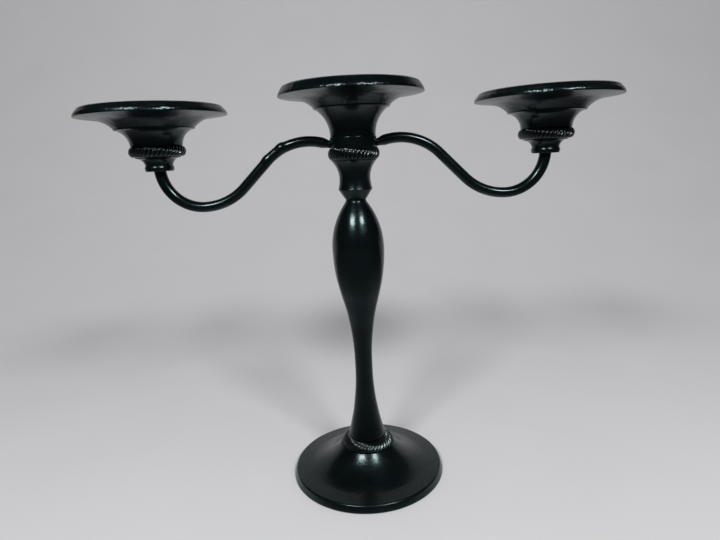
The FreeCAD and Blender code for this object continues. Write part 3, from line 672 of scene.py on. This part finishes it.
# The stem: a turned baluster, thin above the foot and full below the neck, cored for the tie rod.
# It stands on the foot's spigot, and the short pin on its top carries the head.
STEM_FOOT_RADIUS = 0.01435
STEM_WAIST_RADIUS = 0.0066
STEM_WAIST_HEIGHT = 0.0544
STEM_WAIST_LENGTH = 0.006
STEM_HOLLOW_SHARE = 0.59
STEM_BULB_DROP = 0.0355
STEM_TOP_RADIUS = 0.0072
STEM_NECK_ROUND = 0.004
STEM_SOCKET_DEPTH = 0.003
STEM_PIN_RADIUS = 0.0048
STEM_PIN_LENGTH = 0.006
TURNED_SIDES = 160

stem_low, stem_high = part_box("stem")
stem_top = stem_high.z - STEM_PIN_LENGTH
bulb_radius = stem_high.y
waist_low = stem_low.z + STEM_WAIST_HEIGHT
waist_top = waist_low + STEM_WAIST_LENGTH
bulb_height = stem_top - STEM_BULB_DROP
flare = STEM_FOOT_RADIUS - STEM_WAIST_RADIUS
foot_sweep = (STEM_WAIST_HEIGHT ** 2 + flare ** 2) / (2 * flare)
stem_rise = bulb_height - waist_top
stem_lean = (bulb_radius - STEM_WAIST_RADIUS) / stem_rise
stem_swing = 2 * stem_lean / (1 + stem_lean ** 2)
hollow_sweep = stem_rise / stem_swing * STEM_HOLLOW_SHARE
belly_sweep = stem_rise / stem_swing - hollow_sweep
turn_point = (
    STEM_WAIST_RADIUS + hollow_sweep * stem_swing * stem_lean,
    waist_top + hollow_sweep * stem_swing,
)
neck_lean = (bulb_radius - STEM_TOP_RADIUS) / STEM_BULB_DROP
neck_swing = 2 * neck_lean / (1 + neck_lean ** 2)
shoulder_sweep = STEM_BULB_DROP / neck_swing - STEM_NECK_ROUND
neck_point = (
    STEM_TOP_RADIUS + STEM_NECK_ROUND * neck_swing * neck_lean,
    stem_top - STEM_NECK_ROUND * neck_swing,
)
stem_outline = [(FOOT_RING_BORE, stem_low.z)]
stem_outline += sweep(
    (STEM_FOOT_RADIUS, stem_low.z), (STEM_WAIST_RADIUS, waist_low), foot_sweep, "right", steps=32
)
stem_outline += sweep((STEM_WAIST_RADIUS, waist_top), turn_point, hollow_sweep, "right", steps=32)
stem_outline += sweep(turn_point, (bulb_radius, bulb_height), belly_sweep, "left", steps=24)[1:]
stem_outline += sweep((bulb_radius, bulb_height), neck_point, shoulder_sweep, "left", steps=32)[1:]
stem_outline += sweep(neck_point, (STEM_TOP_RADIUS, stem_top), STEM_NECK_ROUND, "right", steps=8)[1:]
stem_outline += [
    (STEM_PIN_RADIUS, stem_top),
    (STEM_PIN_RADIUS, stem_high.z),
    (ROD_HOLE, stem_high.z),
    (ROD_HOLE, stem_low.z + STEM_SOCKET_DEPTH),
    (FOOT_RING_BORE, stem_low.z + STEM_SOCKET_DEPTH),
]
turned_paint = gloss_black(
    "turned_paint", peel=0.00005, lumps=0.0003, dull=0.23, dull_spread=0.16, gloss=0.15, turning=0.00005,
)
stem = turned_piece("stem_baluster", stem_outline, turned_paint, sides=TURNED_SIDES)
dress(stem, "stand", "stem")


# The tie rod, nuts and washers: plain zinc-plated steel, hidden inside the stack. The rod draws the
# foot, the stem and the head together, and a nut on each arm's pin holds its light.
ZINC_BRIGHT = (0.62, 0.62, 0.60, 1.0)
ZINC_DULL = (0.40, 0.40, 0.385, 1.0)
ZINC_BLOOM_SCALE = 420.0
ZINC_BLOOM_RANGE = (0.3, 0.7)
ZINC_BLOOM_HEIGHT = 0.00002
ZINC_ROUGHNESS = (0.24, 0.45)
THREAD_PITCH = 0.001
THREAD_DEPTH = 0.0003


def zinc_plate(name, threaded):
    """Zinc plating with dull blooms, and a cut thread where the piece is a rod along the upright axis."""
    material, tree, shader = new_material(name)
    place = own_place(tree)
    bloom = add_node(tree, "ShaderNodeTexNoise", {"Vector": place, "Scale": ZINC_BLOOM_SCALE, "Detail": 4.0})
    bloom = bloom.outputs["Fac"]
    tree.links.new(mix_colours(tree, bloom, ZINC_BRIGHT, ZINC_DULL), shader.inputs["Base Color"])
    dulling = map_range(tree, bloom, *ZINC_BLOOM_RANGE, *ZINC_ROUGHNESS)
    tree.links.new(dulling, shader.inputs["Roughness"])
    shader.inputs["Metallic"].default_value = 1.0
    height = calc(tree, "MULTIPLY", bloom, ZINC_BLOOM_HEIGHT)
    if threaded:
        parts = add_node(tree, "ShaderNodeSeparateXYZ", {"Vector": place}).outputs
        turn = calc(tree, "ARCTAN2", parts["Y"], parts["X"])
        climb = calc(tree, "MULTIPLY", parts["Z"], 2 * math.pi / THREAD_PITCH)
        thread = calc(tree, "SINE", calc(tree, "SUBTRACT", climb, turn))
        height = calc(tree, "MULTIPLY_ADD", thread, THREAD_DEPTH, height)
    bump = add_node(tree, "ShaderNodeBump", {"Strength": 1.0, "Distance": 1.0, "Height": height})
    tree.links.new(bump.outputs["Normal"], shader.inputs["Normal"])
    return material


rod_zinc = zinc_plate("rod_zinc", threaded=True)
fastener_zinc = zinc_plate("fastener_zinc", threaded=False)
fasteners = [
    f"{end}_{kind}"
    for end in ("foot", "head", "left_arm", "right_arm")
    for kind in ("washer", "nut")
]
for node in ["tie_rod"] + fasteners:
    steel = frame["nodes"][node]
    steel.data.materials.clear()
    steel.data.materials.append(rod_zinc if node == "tie_rod" else fastener_zinc)


# The capital: a turned neck piece with a sharp lip, which sits on the stem's pin and can turn there.
# It is bored for the rod and carries the hub with its rope ring.
CAPITAL_FOOT_RADIUS = 0.0075
CAPITAL_LIP_RADIUS = 0.01215
CAPITAL_LIP_HEIGHT = 0.0069
CAPITAL_WAIST_DEPTH = 0.0012
CAPITAL_WAIST_HEIGHT = 0.0147
CAPITAL_SOCKET = 0.00485
CAPITAL_SOCKET_DEPTH = 0.0064

capital_low, capital_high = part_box("capital")
capital_top_radius = capital_high.y
capital_lip = (CAPITAL_LIP_RADIUS, capital_low.z + CAPITAL_LIP_HEIGHT)
capital_waist = (CAPITAL_LIP_RADIUS - CAPITAL_WAIST_DEPTH, capital_low.z + CAPITAL_WAIST_HEIGHT)
lip_rise = CAPITAL_WAIST_HEIGHT - CAPITAL_LIP_HEIGHT
low_sweep = (lip_rise ** 2 + CAPITAL_WAIST_DEPTH ** 2) / (2 * CAPITAL_WAIST_DEPTH)
top_step = capital_top_radius - capital_waist[0]
top_rise = capital_high.z - capital_waist[1]
high_sweep = (top_rise ** 2 + top_step ** 2) / (2 * top_step)
capital_outline = [(CAPITAL_SOCKET, capital_low.z), (CAPITAL_FOOT_RADIUS, capital_low.z)]
capital_outline += sweep(capital_lip, capital_waist, low_sweep, "right", steps=12)
capital_outline += sweep(
    capital_waist, (capital_top_radius, capital_high.z), high_sweep, "right", steps=16
)[1:]
capital_outline += [
    (ROD_HOLE, capital_high.z),
    (ROD_HOLE, capital_low.z + CAPITAL_SOCKET_DEPTH),
    (CAPITAL_SOCKET, capital_low.z + CAPITAL_SOCKET_DEPTH),
]
capital = turned_piece("capital_neck", capital_outline, turned_paint, sides=TURNED_SIDES)
dress(capital, "head", "capital")


# The arm hub: a plain turned band on a spigot through its rope ring. Each arm's tenon screws into a
# hole in its side, and a shallow recess on top keys the centre cup.
HUB_RADIUS = 0.0163
HUB_SPIGOT_RADIUS = 0.014
HUB_KEY_RADIUS = 0.008
HUB_KEY_DEPTH = 0.002

hub_low, hub_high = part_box("arm_hub")
hub_ring_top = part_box("hub_rope_ring")[1].z
hub_outline = [
    (ROD_HOLE, hub_low.z),
    (HUB_SPIGOT_RADIUS, hub_low.z),
    (HUB_SPIGOT_RADIUS, hub_ring_top),
    (HUB_RADIUS, hub_ring_top),
    (HUB_RADIUS, hub_high.z),
    (HUB_KEY_RADIUS, hub_high.z),
    (HUB_KEY_RADIUS, hub_high.z - HUB_KEY_DEPTH),
    (ROD_HOLE, hub_high.z - HUB_KEY_DEPTH),
]
hub = turned_piece("hub_band", hub_outline, turned_paint, sides=TURNED_SIDES)
dress(hub, "head", "arm_hub")


# The arms: round rods, tapered to a tenon at the hub and bent by hand over an arch, down a slope and up
# again to the light, where the rod swells and ends in a threaded pin. Two beads of paint hang on the left.
ARM_RADIUS = 0.00365
ARM_END_RADIUS = 0.00415
ARM_ENTRY = 0.0033
ARM_RISE = math.radians(15)
ARM_ROOT_GAP = 0.0008
ARM_LEAD = 0.0045
ARM_TENON_RADIUS = 0.0026
ARM_TENON_LENGTH = 0.006
ARM_STRAIGHT = 0.0252
ARM_FOOT_RADIUS = 0.041
ARM_BEND_RADIUS = 0.0282
ARM_PIN_RADIUS = 0.003
ARM_STEP = 0.00005
ARM_SIDES = 40
ARM_ARCH_STEPS = 60
ARM_STRAIGHT_STEPS = 40
ARM_FOOT_STEPS = 24
ARM_BEND_STEPS = 32
ARM_BEADS = ((0.050, 0.0022, 0.0005), (0.0605, 0.0016, 0.0003))
ARM_BEAD_SPREAD = 0.8


def make_rod_tree():
    """A round rod along a curve, as thick as the curve's own radius at each point."""
    tree, given, made = new_group(
        "bent_rod", "GeometryNodeTree",
        {"Geometry": "Geometry", "Sides": "Int", "Material": "Material"},
        {"Geometry": "Geometry"},
    )
    section = add_node(tree, "GeometryNodeCurvePrimitiveCircle", {
        "Resolution": given["Sides"], "Radius": 1.0,
    })
    thickness = tree.nodes.new("GeometryNodeInputRadius").outputs[0]
    rod = add_node(tree, "GeometryNodeCurveToMesh", {
        "Curve": given["Geometry"],
        "Profile Curve": section.outputs["Curve"],
        "Scale": thickness,
        "Fill Caps": True,
    })
    weld_and_paint(tree, rod.outputs[0], given, made)
    return tree


def arm_route(reach, end_height, pin_top):
    """Points of the right arm in the plane of the arms, from its tenon to its pin, each with its radius."""
    uphill = Vector((math.cos(ARM_RISE), math.sin(ARM_RISE)))
    entry = Vector((HUB_RADIUS, hub_ring_top + ARM_ENTRY))
    root = entry + uphill * ARM_ROOT_GAP
    start = root + uphill * ARM_LEAD
    end = Vector((reach, end_height))
    low = end - Vector((ARM_BEND_RADIUS, ARM_BEND_RADIUS))
    bend_centre = low + Vector((0.0, ARM_FOOT_RADIUS))
    way = bend_centre - start
    room = way.length_squared - ARM_FOOT_RADIUS ** 2 - ARM_STRAIGHT ** 2
    spread = ARM_FOOT_RADIUS + way.x * math.sin(ARM_RISE) - way.y * math.cos(ARM_RISE)
    arch_radius = room / (2 * spread)
    arch_centre = start + arch_radius * Vector((math.sin(ARM_RISE), -math.cos(ARM_RISE)))
    apart = bend_centre - arch_centre
    radii = arch_radius + ARM_FOOT_RADIUS
    normal = Vector((radii * apart.x - ARM_STRAIGHT * apart.y, ARM_STRAIGHT * apart.x + radii * apart.y))
    normal /= apart.length_squared
    fall = arch_centre + arch_radius * normal
    foot = bend_centre - ARM_FOOT_RADIUS * normal
    route = [(entry - uphill * ARM_TENON_LENGTH, ARM_TENON_RADIUS), (root, ARM_TENON_RADIUS)]
    way_points = sweep(start, fall, arch_radius, "right", ARM_ARCH_STEPS)
    way_points += [fall.lerp(foot, step / ARM_STRAIGHT_STEPS) for step in range(1, ARM_STRAIGHT_STEPS)]
    way_points += sweep(foot, low, ARM_FOOT_RADIUS, "left", ARM_FOOT_STEPS)
    route += [(point, ARM_RADIUS) for point in way_points]
    bend = sweep(low, end, ARM_BEND_RADIUS, "left", ARM_BEND_STEPS)
    for step, point in enumerate(bend[1:], start=1):
        route.append((point, ARM_RADIUS + (ARM_END_RADIUS - ARM_RADIUS) * step / ARM_BEND_STEPS))
    route.append((end + Vector((0.0, ARM_STEP)), ARM_PIN_RADIUS))
    route.append((Vector((reach, pin_top)), ARM_PIN_RADIUS))
    return route


ROD_TREE = make_rod_tree()
light_joint = next(joint for joint in frame["joints"] if joint["name"] == "left_light_turn")
arm_end_height = light_joint["pos_m"][2]
rod_paint = gloss_black("rod_paint", peel=0.00004, lumps=0.0002, dull=0.2, dull_spread=0.16, gloss=0.2)
for side, hand in (("left", -1), ("right", 1)):
    arm_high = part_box(f"{side}_arm")[1]
    light_low, light_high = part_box(f"{side}_collar")
    reach = abs(light_low.x + light_high.x) / 2
    route = arm_route(reach, arm_end_height, arm_high.z)
    line = bpy.data.curves.new(f"{side}_arm_line", "CURVE")
    line.dimensions = "3D"
    spline = line.splines.new("POLY")
    spline.points.add(len(route) - 1)
    beads = ARM_BEADS if side == "left" else ()
    for point, (spot, radius) in zip(spline.points, route):
        bead = 0.0
        for bead_place, bead_length, bead_height in beads:
            bead += bead_height * math.exp(-((spot.x - bead_place) / bead_length) ** 2)
        point.co = (hand * spot.x, 0.0, spot.y + bead, 1.0)
        point.radius = radius + bead * ARM_BEAD_SPREAD
    seed = new_object(f"{side}_arm_line", line)
    arm = grown_piece(f"{side}_arm_rod", seed, ROD_TREE, {"Sides": ARM_SIDES}, rod_paint)
    dress(arm, "head", f"{side}_arm")


# The centre cup: a tall turned trumpet keyed into the hub. Its bore takes the tube of the pan, and the
# head nut sits in the recess below.
CUP_TOP_RADIUS = 0.0254
CUP_BORE = 0.01355
CUP_RECESS = 0.0068
CUP_FLOOR = 0.0025
CENTRE_CUP_RADIUS = 0.0159
CENTRE_CUP_STRAIGHT = 0.0015
CENTRE_CUP_KEY = 0.00795

cup_low, cup_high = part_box("centre_cup")
cup_neck = hub_high.z + CENTRE_CUP_STRAIGHT
cup_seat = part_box("centre_pan")[0].z
cup_step = CUP_TOP_RADIUS - CENTRE_CUP_RADIUS
cup_sweep = ((cup_high.z - cup_neck) ** 2 + cup_step ** 2) / (2 * cup_step)
cup_floor = hub_high.z + CUP_FLOOR
centre_cup_outline = [
    (ROD_HOLE, cup_low.z),
    (CENTRE_CUP_KEY, cup_low.z),
    (CENTRE_CUP_KEY, hub_high.z),
    (CENTRE_CUP_RADIUS, hub_high.z),
]
centre_cup_outline += sweep((CENTRE_CUP_RADIUS, cup_neck), (CUP_TOP_RADIUS, cup_high.z), cup_sweep, "right")
centre_cup_outline += [
    (CUP_BORE, cup_high.z),
    (CUP_BORE, cup_seat),
    (CUP_RECESS, cup_seat),
    (CUP_RECESS, cup_floor),
    (ROD_HOLE, cup_floor),
]
centre_cup = turned_piece("centre_cup_trumpet", centre_cup_outline, turned_paint)
dress(centre_cup, "head", "centre_cup")


# The pans: shallow cast dishes with a leaning rim, a flat well for a thick candle and a socket for a
# thin one. The socket's tube plugs into the cup. Their rims are knocked, and paint has chipped there.
PAN_TUBE_LENGTH = 0.0078
PAN_DROP = 0.0088
PAN_BOSS_RADIUS = 0.0264
PAN_BOSS_EDGE = 0.0008
PAN_SWEEP = 0.020
PAN_BRIM_WIDTH = 0.0115
PAN_BRIM_RISE = 0.0016
PAN_RIM_LEAN = 0.0023
PAN_BROW_DROP = 0.0017
PAN_BROW_WIDTH = 0.002
PAN_BROW_ROUND = 0.0036
PAN_EDGE_ROUND = 0.0045
PAN_LIP_WIDTH = 0.0022
PAN_WELL_SLOPE = 0.002
PAN_FLOOR_RISE = 0.0012
PAN_CHIP_REACH = 0.0016
PAN_BLOW_REACH = 0.015
PAN_SIDES = 400
PAN_WAVER = 0.0002
PAN_DENTS = 0.00014
SOCKET_RADIUS = 0.011
SOCKET_WALL = 0.0025


def candle_pan(node, body, bare, blow_turn):
    """A pan turned about its own axis, with chips along its two edges, most where it took a blow."""
    low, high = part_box(node)
    axis = (low.x + high.x) / 2
    radius = high.y
    boss = low.z + PAN_TUBE_LENGTH
    edge = boss + PAN_DROP
    floor = edge + PAN_FLOOR_RISE
    brow = radius - PAN_RIM_LEAN
    lip = brow - PAN_BROW_WIDTH
    well_top = lip - PAN_LIP_WIDTH
    outline = [
        (SOCKET_RADIUS, low.z),
        (SOCKET_RADIUS + SOCKET_WALL, low.z),
        (SOCKET_RADIUS + SOCKET_WALL, boss),
        (PAN_BOSS_RADIUS, boss),
    ]
    brim = (radius - PAN_BRIM_WIDTH, edge - PAN_BRIM_RISE)
    outline += sweep((PAN_BOSS_RADIUS, boss + PAN_BOSS_EDGE), brim, PAN_SWEEP, "right", steps=24)
    rim = Vector((PAN_EDGE_ROUND - PAN_RIM_LEAN, high.z - PAN_BROW_DROP - edge))
    edge_turn = math.atan2(rim.y, rim.x) - math.acos(PAN_EDGE_ROUND / rim.length)
    edge_top = (
        radius - PAN_EDGE_ROUND * (1 - math.cos(edge_turn)),
        edge + PAN_EDGE_ROUND * math.sin(edge_turn),
    )
    outline += sweep((radius, edge), edge_top, PAN_EDGE_ROUND, "left", steps=12)
    outline += sweep((brow, high.z - PAN_BROW_DROP), (lip, high.z), PAN_BROW_ROUND, "left", steps=8)
    outline += [
        (well_top, high.z),
        (well_top - PAN_WELL_SLOPE, floor),
        (SOCKET_RADIUS, floor),
    ]
    blow = (axis + radius * math.cos(blow_turn), radius * math.sin(blow_turn), edge)
    upper_edge = (brow - PAN_CHIP_REACH / 3, high.z - PAN_CHIP_REACH / 2)
    chips = [
        {
            "Axis": axis, "Radius": edge_radius, "Height": edge_height, "Reach": PAN_CHIP_REACH,
            "Bare": bare, "Blow": blow, "Blow Reach": PAN_BLOW_REACH,
        }
        for edge_radius, edge_height in ((radius, edge), upper_edge)
    ]
    paint = gloss_black(
        f"{node}_paint", peel=0.00016, lumps=0.0005, dull=0.23, dull_spread=0.2, gloss=0.03, chips=chips,
    )
    dish = turned_piece(f"{node}_dish", outline, paint, axis, PAN_SIDES, PAN_WAVER, PAN_DENTS)
    dress(dish, body, node)


candle_pan("centre_pan", "head", bare=-0.05, blow_turn=math.radians(70))
candle_pan("left_pan", "left_light", bare=-0.03, blow_turn=math.radians(-135))
candle_pan("right_pan", "right_light", bare=-0.05, blow_turn=math.radians(35))


# The side lights' collars and cups: a bead and bell that turn on the arm's pin, and a short trumpet on
# a spigot through the rope ring. The nut inside the cup clamps both to the arm.
COLLAR_NECK_RADIUS = 0.0092
COLLAR_BEAD_SWELL = 0.0006
COLLAR_BEAD_HEIGHT = 0.0038
COLLAR_LAND = 0.0006
COLLAR_SOCKET = 0.00465
COLLAR_SOCKET_DEPTH = 0.002
PIN_HOLE = 0.00305
SIDE_CUP_RADIUS = 0.0172
SIDE_SPIGOT_RADIUS = 0.011

bead_round = (COLLAR_BEAD_SWELL ** 2 + COLLAR_BEAD_HEIGHT ** 2 / 4) / (2 * COLLAR_BEAD_SWELL)
for side in ("left", "right"):
    collar_low, collar_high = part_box(f"{side}_collar")
    axis = (collar_low.x + collar_high.x) / 2
    collar_top_radius = collar_high.y
    bead_top = collar_low.z + COLLAR_BEAD_HEIGHT
    bell_top = collar_high.z - COLLAR_LAND
    bell_rise = bell_top - bead_top
    bell_step = collar_top_radius - COLLAR_NECK_RADIUS
    bell_sweep = (bell_rise ** 2 + bell_step ** 2) / (2 * bell_rise)
    collar_outline = [(COLLAR_SOCKET, collar_low.z)]
    collar_outline += sweep(
        (COLLAR_NECK_RADIUS, collar_low.z), (COLLAR_NECK_RADIUS, bead_top), bead_round, "left", steps=12
    )
    collar_outline += sweep(
        (COLLAR_NECK_RADIUS, bead_top), (collar_top_radius, bell_top), bell_sweep, "right", steps=16
    )[1:]
    collar_outline += [
        (collar_top_radius, collar_high.z),
        (PIN_HOLE, collar_high.z),
        (PIN_HOLE, collar_low.z + COLLAR_SOCKET_DEPTH),
        (COLLAR_SOCKET, collar_low.z + COLLAR_SOCKET_DEPTH),
    ]
    collar = turned_piece(f"{side}_collar_bell", collar_outline, turned_paint, axis, sides=TURNED_SIDES)
    dress(collar, f"{side}_light", f"{side}_collar")

    cup_low, cup_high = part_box(f"{side}_cup")
    ring_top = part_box(f"{side}_rope_ring")[1].z
    cup_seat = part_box(f"{side}_pan")[0].z
    cup_floor = cup_low.z + CUP_FLOOR
    cup_step = CUP_TOP_RADIUS - SIDE_CUP_RADIUS
    cup_sweep = ((cup_high.z - ring_top) ** 2 + cup_step ** 2) / (2 * cup_step)
    cup_outline = [
        (ROD_HOLE, cup_low.z),
        (SIDE_SPIGOT_RADIUS, cup_low.z),
        (SIDE_SPIGOT_RADIUS, ring_top),
    ]
    cup_outline += sweep((SIDE_CUP_RADIUS, ring_top), (CUP_TOP_RADIUS, cup_high.z), cup_sweep, "right")
    cup_outline += [
        (CUP_BORE, cup_high.z),
        (CUP_BORE, cup_seat),
        (CUP_RECESS, cup_seat),
        (CUP_RECESS, cup_floor),
        (ROD_HOLE, cup_floor),
    ]
    cup = turned_piece(f"{side}_cup_trumpet", cup_outline, turned_paint, axis)
    dress(cup, f"{side}_light", f"{side}_cup")
